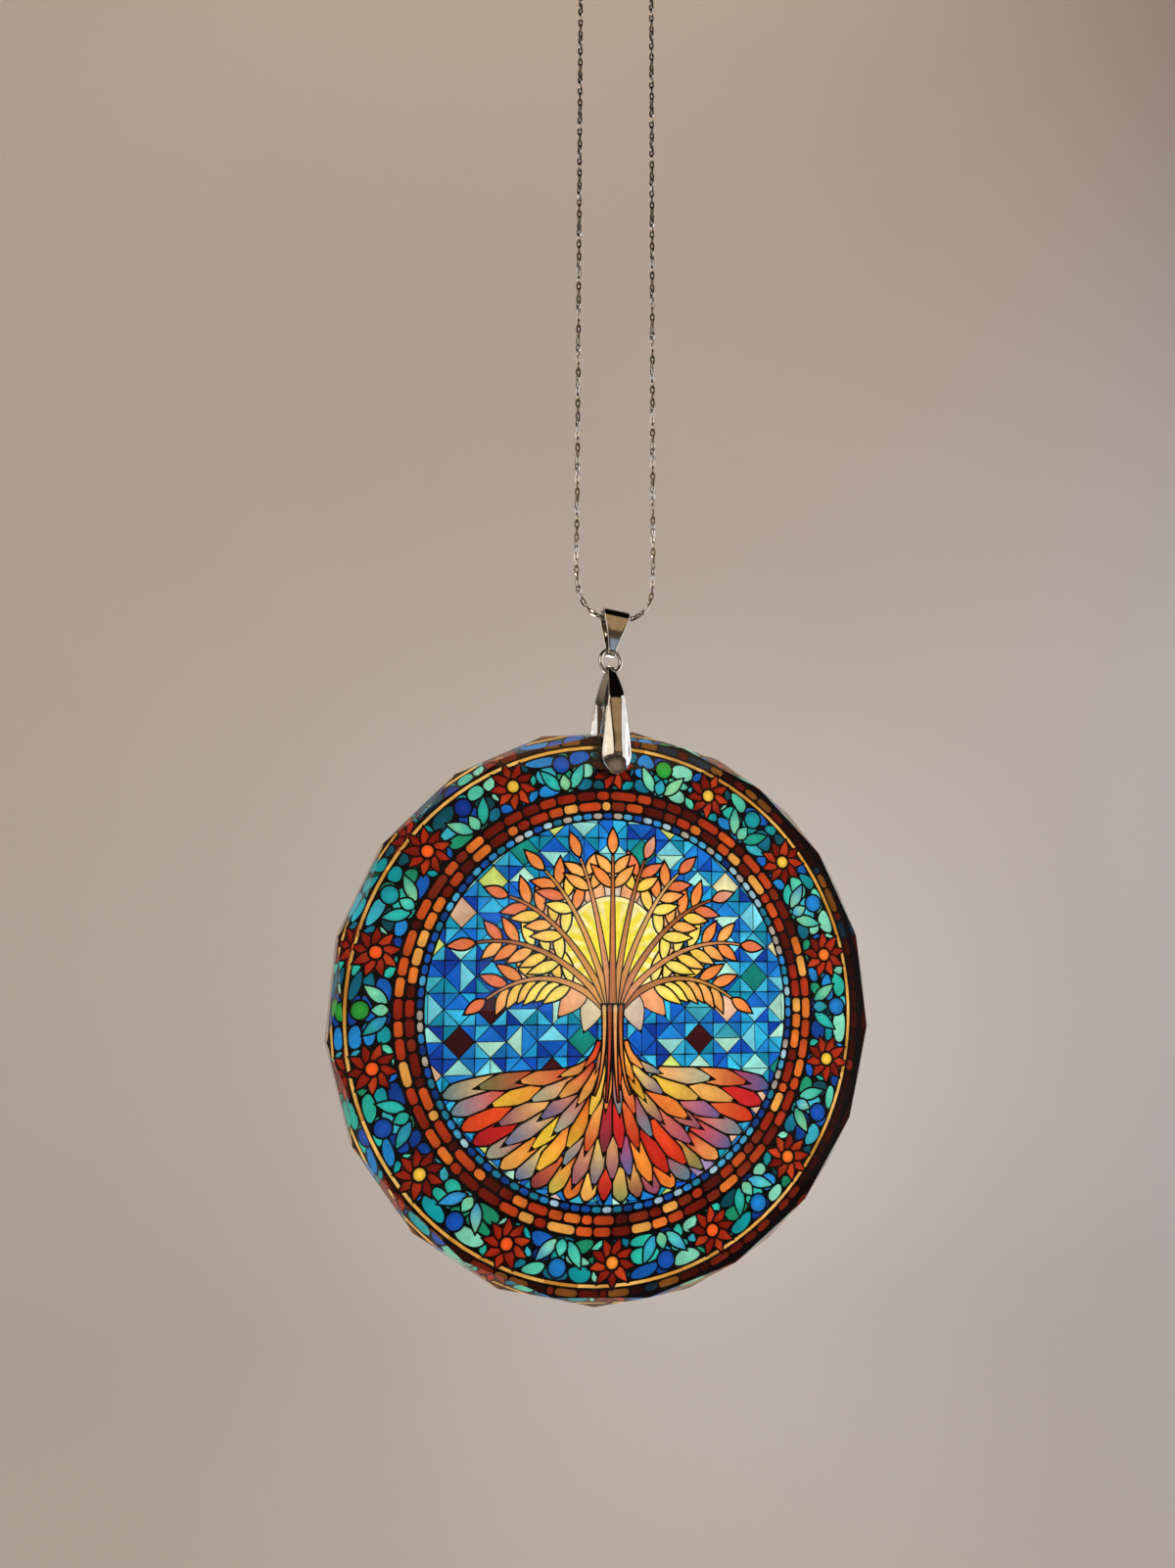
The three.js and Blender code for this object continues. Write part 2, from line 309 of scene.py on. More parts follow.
# a leaf from base to tip: half its width is a sine of the way along, fullest nearer the base
def leafShape(base, tip, width, steps=7):
    base, tip = np.asarray(base, float), np.asarray(tip, float)
    way = np.linspace(0, 1, steps + 1)[:, None]
    across = np.array([-(tip - base)[1], (tip - base)[0]]) / np.linalg.norm(tip - base)
    bulge = across * width / 2 * np.sin(np.pi * way ** 0.85)
    spine = base + (tip - base) * way
    return np.vstack([spine + bulge, (spine - bulge)[-2:0:-1]])


# a strip along a bent line, its width going evenly from one value to another
def taperedStrip(line, wide, narrow):
    ahead = np.gradient(line, axis=0)
    across = np.stack([ahead[:, 1], -ahead[:, 0]], 1) / np.linalg.norm(ahead, axis=1, keepdims=True)
    half = np.linspace(wide, narrow, len(line))[:, None] / 2
    return np.vstack([line + across * half, (line - across * half)[::-1]])


# anticlockwise order of a closed outline
def ordered(outline):
    x, y = outline.T
    return outline if np.sum(x * np.roll(y, -1) - np.roll(x, -1) * y) > 0 else outline[::-1]


# an anticlockwise outline moved outwards by an amount, along the mean of the normals at each corner
def grown(outline, amount):
    edge = np.roll(outline, -1, 0) - outline
    out = np.stack([edge[:, 1], -edge[:, 0]], 1) / np.linalg.norm(edge, axis=1, keepdims=True)
    before = np.roll(out, 1, 0)
    corner = (out + before) / np.maximum(1 + np.sum(out * before, 1, keepdims=True), 0.5)
    return outline + corner * amount


# corners cut at a quarter of each side, which rounds a pane
def softened(outline, passes):
    for _ in range(passes):
        after = np.roll(outline, -1, 0)
        outline = np.stack([0.75 * outline + 0.25 * after, 0.25 * outline + 0.75 * after], 1).reshape(-1, 2)
    return outline


panes = []  # painted in order, a later one over an earlier one


def tinted(name, low=0.85, high=1.1):
    return linear(palettes[name][rng.integers(len(palettes[name]))]) * rng.uniform(low, high)


# one colour of a palette, a little deeper at one end of the pane than at the other
def shaded(name):
    colour = tinted(name)
    return colour * rng.uniform(0.8, 0.95), colour * rng.uniform(1.0, 1.15)


# a pane shrunk by half a lead and rounded, with its own lead line under it where it lies over others
def addPane(outline, near, far=None, ends=None, outlined=False, passes=1, glow=0.2,
            width=picturePlan["lead"]):
    outline = ordered(np.asarray(outline, float))
    if outlined:
        addGround(grown(outline, width * 0.45))
    inside = softened(grown(outline, -width / 2), passes)
    spread = np.cov(inside.T) * 2 + np.eye(2) * 0.01
    ends = (inside[0], inside[len(inside) // 2]) if ends is None else ends
    panes.append({"outline": inside, "near": near, "far": near if far is None else far, "ends": ends,
                  "middle": inside.mean(0), "shape": np.linalg.inv(spread), "glow": glow})


def addGround(outline):
    ink = linear(lead)
    panes.append({"outline": ordered(np.asarray(outline, float)), "near": ink, "far": ink,
                  "ends": ((0, 0), (0, 1)), "middle": np.zeros(2), "shape": np.eye(2), "glow": 0.0})


# the sky: a square grid, and in each of its cells a square on its corner that is one jewel or two halves
def drawLattice(plan):
    cell, width = plan["latticeCell"], plan["fineLead"]
    reach = int(plan["windowRadius"] / cell) + 1
    corners = np.array([(-1, -1), (1, -1), (1, 1), (-1, 1)]) * cell / 2
    middles = (corners + np.roll(corners, -1, 0)) / 2
    for i in range(-reach, reach + 1):
        for j in range(-reach, reach + 1):
            at = np.array([i, j]) * cell
            if np.linalg.norm(at) > plan["windowRadius"] + cell / 2:
                continue
            for k in range(4):
                addPane(at + [corners[k], middles[k], middles[k - 1]], *shaded("sky"), passes=0, width=width)
            if (3 * i + 5 * j) % 4 == 0:
                addPane(at + middles, *shaded("jewel"), passes=0, width=width, glow=0.3)
                continue
            for half in ((0, 1, 3), (1, 2, 3)) if (i + j) % 2 else ((0, 1, 2), (0, 2, 3)):
                addPane(at + middles[list(half)], *shaded("skyLight"), passes=0, width=width)


# the sun: a whorl of petals, a pale rim, and a yellow middle with soft rays that have no lead between them
def drawSun(plan):
    sun = plan["sun"]
    centre, radius = np.array(sun["centre"]), sun["radius"]
    for k in range(sun["petals"]):
        turn = 360 * k / sun["petals"]
        base = centre + polar(sun["petalFoot"] * radius, turn)
        tip = centre + polar(sun["petalReach"], turn)
        name = "sunPetal" if k % 2 else "palePetal"
        addPane(leafShape(base, tip, sun["petalWidth"]), tinted(name), tinted(name), (base, tip),
                outlined=True, width=plan["fineLead"])
    circle = polar(radius, np.arange(0, 360, 6))
    addGround(centre + sun["leadShare"] * circle)
    for share, name in ((sun["rimShare"], "sunRim"), (sun["heartShare"], "sun")):
        addPane(centre + share * circle, tinted(name, 1, 1), passes=0, glow=0.06, width=0)
    inner, outer = (share * radius for share in sun["rayShares"])
    for k in range(sun["rays"]):
        turn, half = 360 * k / sun["rays"], 90 / sun["rays"]
        ray = np.vstack([polar(inner, turn), polar(outer, turn + half * np.array([-1, 0, 1]))])
        addPane(centre + ray, tinted("sun", 0.95, 1.1), tinted("sunRim", 0.85, 0.95),
                (centre + ray[0], centre + ray[2]), passes=0, glow=0, width=0)


# the roots: rows of long pointed panes between curves that fall from the trunk and fan out below it
def drawRoots(plan):
    roots = plan["roots"]

    def curve(u, v):
        end = polar(plan["windowRadius"] - 0.5, 180 - u * roots["spread"])
        hip, hipHeight = roots["hip"]
        pulls = [np.array([roots["neck"] * u, roots["top"]]), np.array([hip * u, hipHeight]),
                 end * (0.52, 1) + (0, 6.0 - 2.0 * abs(u)), end]
        weights = [(1 - v) ** 3, 3 * v * (1 - v) ** 2, 3 * v ** 2 * (1 - v), v ** 3]
        return sum(w * p for w, p in zip(weights, pulls))

    rows = len(roots["rows"])
    marks = np.linspace(0, 1, rows + 1)
    for row in range(rows - 1, -1, -1):
        cuts = np.linspace(-1, 1, roots["rows"][row] + 1)
        for u0, u1 in zip(cuts[:-1], cuts[1:]):
            slip = rng.uniform(-roots["slip"], roots["slip"])
            top = max(marks[row] - roots["overlap"] + slip, 0)
            foot = min(marks[row + 1] - 0.03 + slip, 0.97)
            middle, point = (u0 + u1) / 2, min(foot + roots["point"], 1.03)
            v = np.linspace(top, foot, 6)
            outline = np.array([*(curve(u0, k) for k in v), curve(middle, point),
                                *(curve(u1, k) for k in v[::-1])])
            cool = rng.uniform() < 0.22 + 0.1 * row
            near, far = tinted("rootWarm"), tinted("rootCool" if cool else "rootWarm", 0.75, 1.05)
            addPane(outline, near, far, (curve(middle, top), curve(middle, point)), outlined=True, glow=0.15)


# the trunk: bent strips side by side that part at its foot, over the roots
def drawTrunk(plan):
    trunk = plan["trunk"]
    edges = trunk["strips"]
    for left, right in zip(edges[:-1], edges[1:]):
        middle, width = (left + right) / 2, right - left
        at = middle * trunk["half"]
        line = bezier((at, trunk["top"]), (at * 0.8, trunk["waist"]), (at, trunk["knee"]),
                      (middle * trunk["flare"], trunk["foot"] + 2 * abs(middle)), 10)
        strip = taperedStrip(line, trunk["half"] * width, trunk["tip"])
        addPane(strip, tinted("bark"), tinted("rootWarm"), (line[0], line[-1]), outlined=True)


# the boughs: bent strips from the fork to the crown's edge with leaves on both sides, redder further out
def drawBoughs(plan):
    tree, sun = plan["tree"], np.array(plan["sun"]["centre"])
    fork = np.array([0, tree["fork"]])
    angles = [side * angle for angle in tree["boughs"] for side in ((1, -1) if angle else (1,))]
    for angle in angles[::-1]:
        away = polar(1, angle)
        reach = math.sqrt((sun @ away) ** 2 + tree["inside"] ** 2 - sun @ sun) - sun @ away
        reach *= tree["drooping"] if abs(angle) > 90 else 1
        line = bezier(fork, fork + polar(tree["rise"], 0.3 * angle), sun + polar(0.5 * reach, 0.86 * angle),
                      sun + away * reach, tree["steps"] + 1)
        ahead = np.gradient(line, axis=0)
        heading = np.degrees(np.arctan2(ahead[:, 0], ahead[:, 1]))
        for share in np.linspace(1, tree["bare"], tree["leaves"]):
            at = int(share * tree["steps"])
            if np.linalg.norm(line[at] - sun) < tree["clear"]:
                continue
            far = (share - tree["bare"]) / (1 - tree["bare"])
            size = tree["leafLength"] * (1.0 - 0.22 * far) * rng.uniform(0.92, 1.08)
            spread = tree["leafTurn"] - 14 * far
            for turn in (0,) if share == 1 else (-spread, spread):
                shade = int(np.clip(far * 4.4 + rng.uniform(-0.4, 2.2), 1, 6))
                near, rest = (linear(palettes["leaf"][k]) * rng.uniform(0.9, 1.08)
                              for k in (shade - 1, shade))
                tip = line[at] + polar(size, heading[at] + turn)
                addPane(leafShape(line[at], tip, tree["leafWidth"]), near, rest, (line[at], tip),
                        outlined=True, glow=0.12)
        addPane(taperedStrip(line, tree["boughWidth"], tree["boughTip"]), tinted("bark"), tinted("bark"),
                (line[0], line[-1]), outlined=True, passes=0, width=plan["fineLead"])


# a ring of panes between two radii, each with its share of the circle and a little slack at its ends
def drawRing(band, count, name, slack=0.0):
    cuts = (np.arange(count) + rng.uniform(-slack, slack, count)) * 360 / count
    for start, stop in zip(cuts, np.append(cuts[1:], cuts[0] + 360)):
        addPane(ringPart(band, start, stop), *shaded(name))


# the border: pebble panes whose shared corners wander, then flowers with a leaf spray and a pebble between
def drawBorder(plan):
    mosaic, flowers, pebbles, sprays = (plan[key] for key in ("mosaic", "flowers", "pebbles", "sprays"))
    rows, count = mosaic["rows"], mosaic["count"]
    radii = np.linspace(*mosaic["band"], rows + 1)[:, None] + np.zeros((1, count))
    radii[1:-1] += rng.uniform(-0.5, 0.5, (rows - 1, count))
    angles = (np.arange(count)[None] + rng.uniform(-0.36, 0.36, (rows + 1, count))) * 360 / count
    corners = polar(radii, angles)
    for row in range(rows):
        for k in range(count):
            after = (k + 1) % count
            quad = [corners[row, k], corners[row + 1, k], corners[row + 1, after], corners[row, after]]
            addPane(quad, *shaded("mosaic"), passes=2)
    step = 360 / flowers["count"]
    for k in range(flowers["count"]):
        between = step * (k + 0.5)
        for turn, start, stop in sprays["leaves"]:
            base, tip = polar(start, between + turn * 0.25), polar(stop, between + turn)
            addPane(leafShape(base, tip, sprays["width"]), tinted("spray"), tinted("spray"), (base, tip),
                    outlined=True)
        pebble = polar(pebbles["radius"], between) + polar(pebbles["size"], np.arange(0, 360, 24))
        addPane(pebble, *shaded("pebble"), outlined=True, glow=0.3)
    goldStep = 360 / plan["goldLine"]["count"]
    for k in range(plan["goldLine"]["count"]):
        gold = ringPart(plan["goldLine"]["band"], goldStep * k, goldStep * k + goldStep)
        addPane(gold, tinted("gold"), tinted("gold"), (gold[0], gold[2]), passes=0, glow=0, width=0)
    for k in range(flowers["count"]):
        centre = polar(flowers["radius"], step * k)
        back = centre + polar(flowers["back"], np.arange(0, 360, 20))
        addPane(back, tinted("edge"), outlined=True, passes=0)
        for petal in range(flowers["petals"]):
            tip = centre + polar(flowers["reach"], step * k + 360 * petal / flowers["petals"])
            addPane(leafShape(centre, tip, flowers["petalWidth"]), tinted("petal", 0.5, 0.7), tinted("petal"),
                    (centre, tip), outlined=True)
        heart = centre + polar(flowers["heart"], np.arange(0, 360, 30))
        addPane(heart, tinted("heart"), outlined=True, glow=0.25, width=0.4)


def drawPicture(plan):
    drawLattice(plan)
    drawSun(plan)
    drawRoots(plan)
    drawBoughs(plan)
    drawTrunk(plan)
    ground = plan["ground"]
    step = 360 / ground["count"]
    for k in range(ground["count"]):
        addGround(ringPart((plan["windowRadius"], ground["radius"]), step * k, step * k + step))
    drawRing(plan["squareRow"]["band"], plan["squareRow"]["count"], "square")
    for row in plan["brickRows"]:
        drawRing(row["band"], row["count"], "brick", slack=0.3)
    drawRing(plan["edgeTiles"]["band"], plan["edgeTiles"]["count"], "edge", slack=0.35)
    drawBorder(plan)


drawPicture(picturePlan)
print("picture drawn:", len(panes), "panes")


# CRYSTAL: one clear solid with flat cut faces, whose back face is cut up into the picture's panes
crystalPlan = {
    "facets": 18,
    "thickness": 6,
    "bevelDepth": 3,  # of the front bevel's facets, behind which the rim runs straight back
    "frontRadius": 38.6,
    "rimRadius": 40,
    "facetTurn": 4.05,  # degrees from straight up to the nearest rim corner
    "hole": (-0.9, 35),
    "holeDiameter": 2.2,
    "holeSides": 28,
}


# every overlap of the outlines worked out at once: triangles, and the outlines that each lies in
def overlay(outlines):
    points = [Vector(p) for outline in outlines for p in outline]
    ends = np.cumsum([len(outline) for outline in outlines])
    faces = [list(range(end - len(outline), end)) for outline, end in zip(outlines, ends)]
    made = delaunay_2d_cdt(points, [], faces, 1, 1e-4, True)
    return np.array([tuple(p) for p in made[0]]), np.array(made[2]), made[5]


# a pane's colour at a point: a blend between its two ends, brighter at its middle and darker at its rim
def inkColours(at, top):
    field = {key: np.array([pane[key] for pane in panes])[top][:, None]
             for key in ("near", "far", "ends", "middle", "shape", "glow")}
    start, stop = field["ends"][:, :, 0], field["ends"][:, :, 1]
    along = stop - start
    share = np.sum((at - start) * along, -1) / np.maximum(np.sum(along ** 2, -1), 1e-6)
    share = np.clip(share, 0, 1)[..., None]
    away = at - field["middle"]
    shape = np.broadcast_to(field["shape"], away.shape + (2,))
    rim = np.sqrt(np.einsum("fci,fcij,fcj->fc", away, shape, away))
    lift = 1 + field["glow"] * (1 - 2 * np.clip(rim, 0, 1))
    return (field["near"] * (1 - share) + field["far"] * share) * lift[..., None]


def makeCrystal(plan, glass, ink):
    facets, depth = plan["facets"], plan["thickness"] / 2
    steps = np.arange(facets)
    rimCorners = polar(plan["rimRadius"], plan["facetTurn"] + 360 / facets * steps)
    frontCorners = polar(plan["frontRadius"], plan["facetTurn"] + 360 / facets * (steps + 0.5))
    rimSteps = np.arange(plan["holeSides"]) * 360 / plan["holeSides"]
    hole = ordered(np.array(plan["hole"]) + polar(plan["holeDiameter"] / 2, rimSteps))
    panes.insert(0, {**panes[0], "outline": ordered(rimCorners), "near": linear(lead), "far": linear(lead),
                     "glow": 0.0})
    flat, tris, within = overlay([pane["outline"] for pane in panes] + [hole])
    kept = np.array([len(w) > 0 and max(w) < len(panes) for w in within])
    top = np.array([max(w) if len(w) else 0 for w in within])[kept]
    backTris = tris[kept]
    # the hole's rim, with any point that a pane's edge left on it
    ring = np.unique(tris[~kept])
    ring = ring[np.isin(ring, backTris)]
    ring = ring[np.argsort(np.arctan2(*(flat[ring] - plan["hole"]).T))]
    frontFlat, frontTris, inFront = overlay([ordered(frontCorners), ordered(flat[ring])])
    frontTris = frontTris[[len(w) == 1 for w in inFront]]
    points = np.vstack([np.insert(flat, 1, depth, axis=1), np.insert(frontFlat, 1, -depth, axis=1),
                        np.insert(rimCorners, 1, plan["bevelDepth"] - depth, axis=1)])
    shift = len(flat)

    def nearest(cloud, corners):
        return np.argmin(np.linalg.norm(cloud[None] - corners[:, None], axis=2), axis=1)

    back, front = nearest(flat, rimCorners), shift + nearest(frontFlat, frontCorners)
    rim = shift + len(frontFlat) + steps
    ringFront = shift + nearest(frontFlat, flat[ring])
    nextFront, nextRim, nextBack = (np.roll(corners, -1) for corners in (front, rim, back))
    sides = np.vstack([np.stack([front, nextRim, rim], 1), np.stack([front, nextFront, nextRim], 1),
                       np.stack([rim, nextRim, nextBack], 1), np.stack([rim, nextBack, back], 1)])
    after, afterFront = np.roll(ring, -1), np.roll(ringFront, -1)
    wall = np.vstack([np.stack([ring, after, afterFront], 1), np.stack([ring, afterFront, ringFront], 1)])
    faces = np.vstack([backTris[:, ::-1], frontTris + shift, sides, wall])
    piece = newPiece("crystal", points, faces, [glass, ink], smooth=False)
    isInk = np.arange(len(faces)) < len(backTris)
    piece.data.polygons.foreach_set("material_index", isInk.astype(np.int32))
    colours = np.ones((len(faces), 3, 4), np.float32)
    colours[:len(backTris), :, :3] = inkColours(flat[backTris[:, ::-1]], top)
    layer = piece.data.color_attributes.new("ink", "FLOAT_COLOR", "CORNER")
    layer.data.foreach_set("color", colours.ravel())
    piece.data.validate()
    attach(piece, "root")
    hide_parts("crystal_disc")
    print("crystal", len(faces), "triangles")
    return piece


# lead-free crystal glass, cut and polished: clear to its edges, with bright refractions in the rim
def crystalGlass():
    material, tree, out = newMaterial("polished_crystal_glass")
    glass = addNode(tree, "ShaderNodeBsdfPrincipled", {
        "Base Color": colour4("#fbfdfd"), "Roughness": 0.0, "IOR": 1.54, "Transmission Weight": 1.0})
    tree.links.new(glass.outputs[0], out.inputs["Surface"])
    return material


# cured ink on the back: thin and coloured through, so it glows when lit from behind and looks satin in front
def printedInk():
    material, tree, out = newMaterial("cured_translucent_ink")
    coords = addNode(tree, "ShaderNodeTexCoord").outputs["Object"]
    ink = addNode(tree, "ShaderNodeAttribute", attribute_name="ink").outputs["Color"]
    mottle = addNode(tree, "ShaderNodeTexNoise", {"Vector": coords, "Scale": 1 / (0.9 * mm), "Detail": 4.0})
    strength = addNode(tree, "ShaderNodeMapRange", {"Value": mottle.outputs[0], "From Min": 0.25,
                                                    "From Max": 0.75, "To Min": 0.86, "To Max": 1.1})
    colour = addNode(tree, "ShaderNodeVectorMath", {0: ink, "Scale": strength.outputs[0]}, operation="SCALE")
    face = addNode(tree, "ShaderNodeBsdfPrincipled", {"Base Color": colour.outputs[0], "Roughness": 0.35,
                                                      "Specular IOR Level": 0.3})
    through = addNode(tree, "ShaderNodeBsdfTranslucent", {"Color": colour.outputs[0]})
    both = addNode(tree, "ShaderNodeMixShader", {0: 0.7, 1: face.outputs[0], 2: through.outputs[0]})
    tree.links.new(both.outputs[0], out.inputs["Surface"])
    return material


makeCrystal(crystalPlan, crystalGlass(), printedInk())


# BAILS AND RING: bent strips and wire of polished plate
pinchPlan = {
    "thickness": 0.36,
    "neckWidth": 1.2,
    "leafWidth": 4.45,
    "tip": 33,
    "widest": 36.2,
    "dome": 1.1,
    "bendHeight": 48.62,
    "bendRadius": 0.8,
    "standOff": 3.53,
    "knee": 44,
    "lean": 42,
    "kneePull": 1,
    "bendPull": 2.6,
    "pegDiameter": 1.2,
    "pegReach": (1.9, 4.08),
    "rows": 170,
}


# the strip's outline across: two long sides and two round edges, as shares of the half width and thickness
def stripSection(across, edge):
    side = np.linspace(-1, 1, across)
    bend = np.linspace(90, -90, edge + 2)[1:-1]
    sx = np.concatenate([side, np.ones(edge), side[::-1], -np.ones(edge)])
    ex = np.concatenate([0 * side, np.cos(np.radians(bend)), 0 * side, -np.cos(np.radians(bend))])
    sn = np.concatenate([0 * side + 1, np.sin(np.radians(bend)), 0 * side - 1, -np.sin(np.radians(bend))])
    return sx, ex, sn


# a bent strip: its section carried along a path in Y and Z, with a width and a bulge at each row
def bentStrip(path, ahead, width, bulge, thickness, closed, across=17, edge=3):
    sx, ex, sn = stripSection(across, edge)
    half = thickness / 2
    x = sx * (width[:, None] / 2 - half) + ex * half
    lift = sn * half + bulge[:, None] * (1 - sx ** 2)
    out = np.stack([-ahead[:, 1], ahead[:, 0]], 1)
    yz = path[:, None] + out[:, None] * lift[..., None]
    points = np.concatenate([x[..., None], yz], 2).reshape(-1, 3)
    faces = [tuple(f) for f in gridFaces(len(path), len(sx), closed, True)]
    if not closed:
        faces += [tuple(range(len(sx) - 1, -1, -1)), tuple(range(len(points) - len(sx), len(points)))]
    return points, faces


# a round peg along Y: a profile of radius against depth, turned about its axis
def turnedPeg(profile, height, sides=20):
    radius, depth = np.array(profile, float).T
    turn = np.linspace(0, 2 * np.pi, sides, endpoint=False)
    x = radius[:, None] * np.cos(turn)
    z = height + radius[:, None] * np.sin(turn)
    points = np.stack([x, depth[:, None] + 0 * turn, z], -1).reshape(-1, 3)
    faces = [tuple(f) for f in gridFaces(len(radius), sides, False, True)]
    return points, faces + [tuple(range(sides - 1, -1, -1)), tuple(range(len(points) - sides, len(points)))]


def joined(parts):
    counts = np.cumsum([0] + [len(points) for points, _ in parts])
    faces = [tuple(np.array(f) + shift) for (_, group), shift in zip(parts, counts) for f in group]
    return np.vstack([points for points, _ in parts]), faces


def finishMetal(name, points, faces, material, node, side):
    piece = newPiece(name, points + (side, 0, 0), faces, [material])
    piece.data.set_sharp_from_angle(angle=math.radians(50))
    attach(piece, "root")
    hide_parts(node)
    print(node, "made")


# up along the front face, over the ring and down along the back face, as Y and Z
def pinchRoute(plan):
    lean, radius = math.radians(plan["lean"]), plan["bendRadius"]
    start = np.array([-radius * math.cos(lean), plan["bendHeight"] + radius * math.sin(lean)])
    pull = start + np.array([-math.sin(lean), -math.cos(lean)]) * plan["bendPull"]
    stand, knee = -plan["standOff"], plan["knee"]
    up = np.linspace((stand, plan["tip"]), (stand, knee), 40)[:-1]
    rise = bezier((stand, knee), (stand, knee + plan["kneePull"]), pull, start)
    turn = np.linspace(math.pi - lean, math.pi / 2, 16)[1:]
    bend = np.stack([radius * np.cos(turn), plan["bendHeight"] + radius * np.sin(turn)], 1)
    front = np.vstack([up, rise, bend])
    return np.vstack([front, front[-2::-1] * (-1, 1)])


def makePinchBail(plan, material):
    route = pinchRoute(plan)
    length = alongRoute(route)[-1]
    share = 0.5 - 0.5 * np.cos(np.pi * np.linspace(0, 1, plan["rows"]))
    at, ahead = sampleRoute(route, share * length)
    height = at[:, 1]
    down = np.clip((plan["widest"] - height) / (plan["widest"] - plan["tip"]), 0, 1)
    up = np.clip((height - plan["widest"]) / (plan["bendHeight"] - plan["widest"]), 0, 1)
    foot = np.maximum(plan["leafWidth"] * (1 - down ** 2.3) ** 0.6, plan["thickness"])
    neck = plan["neckWidth"] + (plan["leafWidth"] - plan["neckWidth"]) * (1 - up ** 1.15)
    width = np.where(height < plan["widest"], foot, neck)
    bulge = plan["dome"] * (width / plan["leafWidth"]) ** 3
    radius, (inner, outer) = plan["pegDiameter"] / 2, plan["pegReach"]
    profile = [(radius * 0.35, inner), (radius * 0.8, inner + 0.12), (radius, inner + 0.35), (radius, outer)]
    holeHeight = crystalPlan["hole"][1]
    back = turnedPeg(profile, holeHeight)
    front = turnedPeg([(r, -d) for r, d in profile[::-1]], holeHeight)
    points, faces = joined([bentStrip(at, ahead, width, bulge, plan["thickness"], False), front, back])
    finishMetal("pinch_bail_leaves", points, faces, material, "pinch_bail", crystalPlan["hole"][0])


ringPlan = {"side": -0.7, "height": 50.3, "radius": 1.68, "wire": 0.68, "turn": 10, "cutAt": 62,
            "cutWidth": 0.07, "around": 96, "sides": 24}


# a round wire carried round a circle that is cut open by a hairline
def makeJumpRing(plan, material):
    gap = math.degrees(plan["cutWidth"] / plan["radius"]) / 2
    turn = np.radians(np.linspace(plan["cutAt"] + gap, plan["cutAt"] + 360 - gap, plan["around"]))[:, None]
    psi = np.linspace(0, 2 * np.pi, plan["sides"], endpoint=False)[None]
    reach = plan["radius"] + plan["wire"] / 2 * np.cos(psi)
    flat, deep = reach * np.sin(turn), plan["wire"] / 2 * np.sin(psi)
    cos, sin = math.cos(math.radians(plan["turn"])), math.sin(math.radians(plan["turn"]))
    points = np.stack([flat * cos - deep * sin, flat * sin + deep * cos,
                       plan["height"] + reach * np.cos(turn)], -1).reshape(-1, 3)
    sides = plan["sides"]
    faces = [tuple(f) for f in gridFaces(plan["around"], sides, False, True)]
    faces += [tuple(range(sides - 1, -1, -1)), tuple(range(len(points) - sides, len(points)))]
    finishMetal("jump_ring_wire", points, faces, material, "jump_ring", plan["side"])


strapPlan = {
    "thickness": 0.36,
    "top": 58.2,
    "topWidth": 4,
    "footWidth": 1.3,
    "topRadius": 1.3,
    "footRadius": 0.8,
    "footHeight": 51.98,
    "side": -0.65,
    "tilt": 6.5,  # its top leans to the middle, where the chain runs
    "bow": 0.13,  # how far the sides swell between the two bends
    "rows": 140,
}


# a loop seen from the side: a wide round top and a narrow round foot, with sides that swell by a sine
def makeStrapBail(plan, material):
    topHeight = plan["top"] - plan["thickness"] / 2 - plan["topRadius"]
    rise = topHeight - plan["footHeight"]
    lean = math.asin((plan["topRadius"] - plan["footRadius"]) / rise)
    over = np.linspace(-lean, math.pi + lean, 40)
    under = np.linspace(math.pi + lean, 2 * math.pi - lean, 30)
    loop = np.vstack([
        np.stack([-np.cos(over) * plan["topRadius"], topHeight + np.sin(over) * plan["topRadius"]], 1),
        np.stack([-np.cos(under) * plan["footRadius"],
                  plan["footHeight"] + np.sin(under) * plan["footRadius"]], 1)])
    loop = np.vstack([loop, loop[:1]])
    at, ahead = sampleRoute(loop, np.linspace(0, alongRoute(loop)[-1], plan["rows"], endpoint=False))
    up = np.clip((at[:, 1] - plan["footHeight"]) / rise, 0, 1)
    at[:, 0] += np.sign(at[:, 0]) * plan["bow"] * np.sin(np.pi * up)
    ahead = np.roll(at, -1, 0) - np.roll(at, 1, 0)
    ahead /= np.linalg.norm(ahead, axis=1, keepdims=True)
    width = plan["footWidth"] + (plan["topWidth"] - plan["footWidth"]) * up ** 1.15
    points, faces = bentStrip(at, ahead, width, 0 * width, plan["thickness"], True, across=9)
    tilt, up = math.radians(plan["tilt"]), points[:, 2] - plan["footHeight"]
    points = np.stack([points[:, 0] * math.cos(tilt) + up * math.sin(tilt), points[:, 1],
                       plan["footHeight"] + up * math.cos(tilt) - points[:, 0] * math.sin(tilt)], 1)
    finishMetal("strap_bail_loop", points, faces, material, "strap_bail", plan["side"])


makePinchBail(pinchPlan, polishedPlate)
makeJumpRing(ringPlan, polishedPlate)
makeStrapBail(strapPlan, polishedPlate)


# STAGE: a pale floor that sweeps up into a wall behind, in metres
stagePlan = {"floor": -0.52, "wall": 0.36, "sweep": 0.2, "front": -1.6, "top": 1.2, "halfWidth": 1.8}


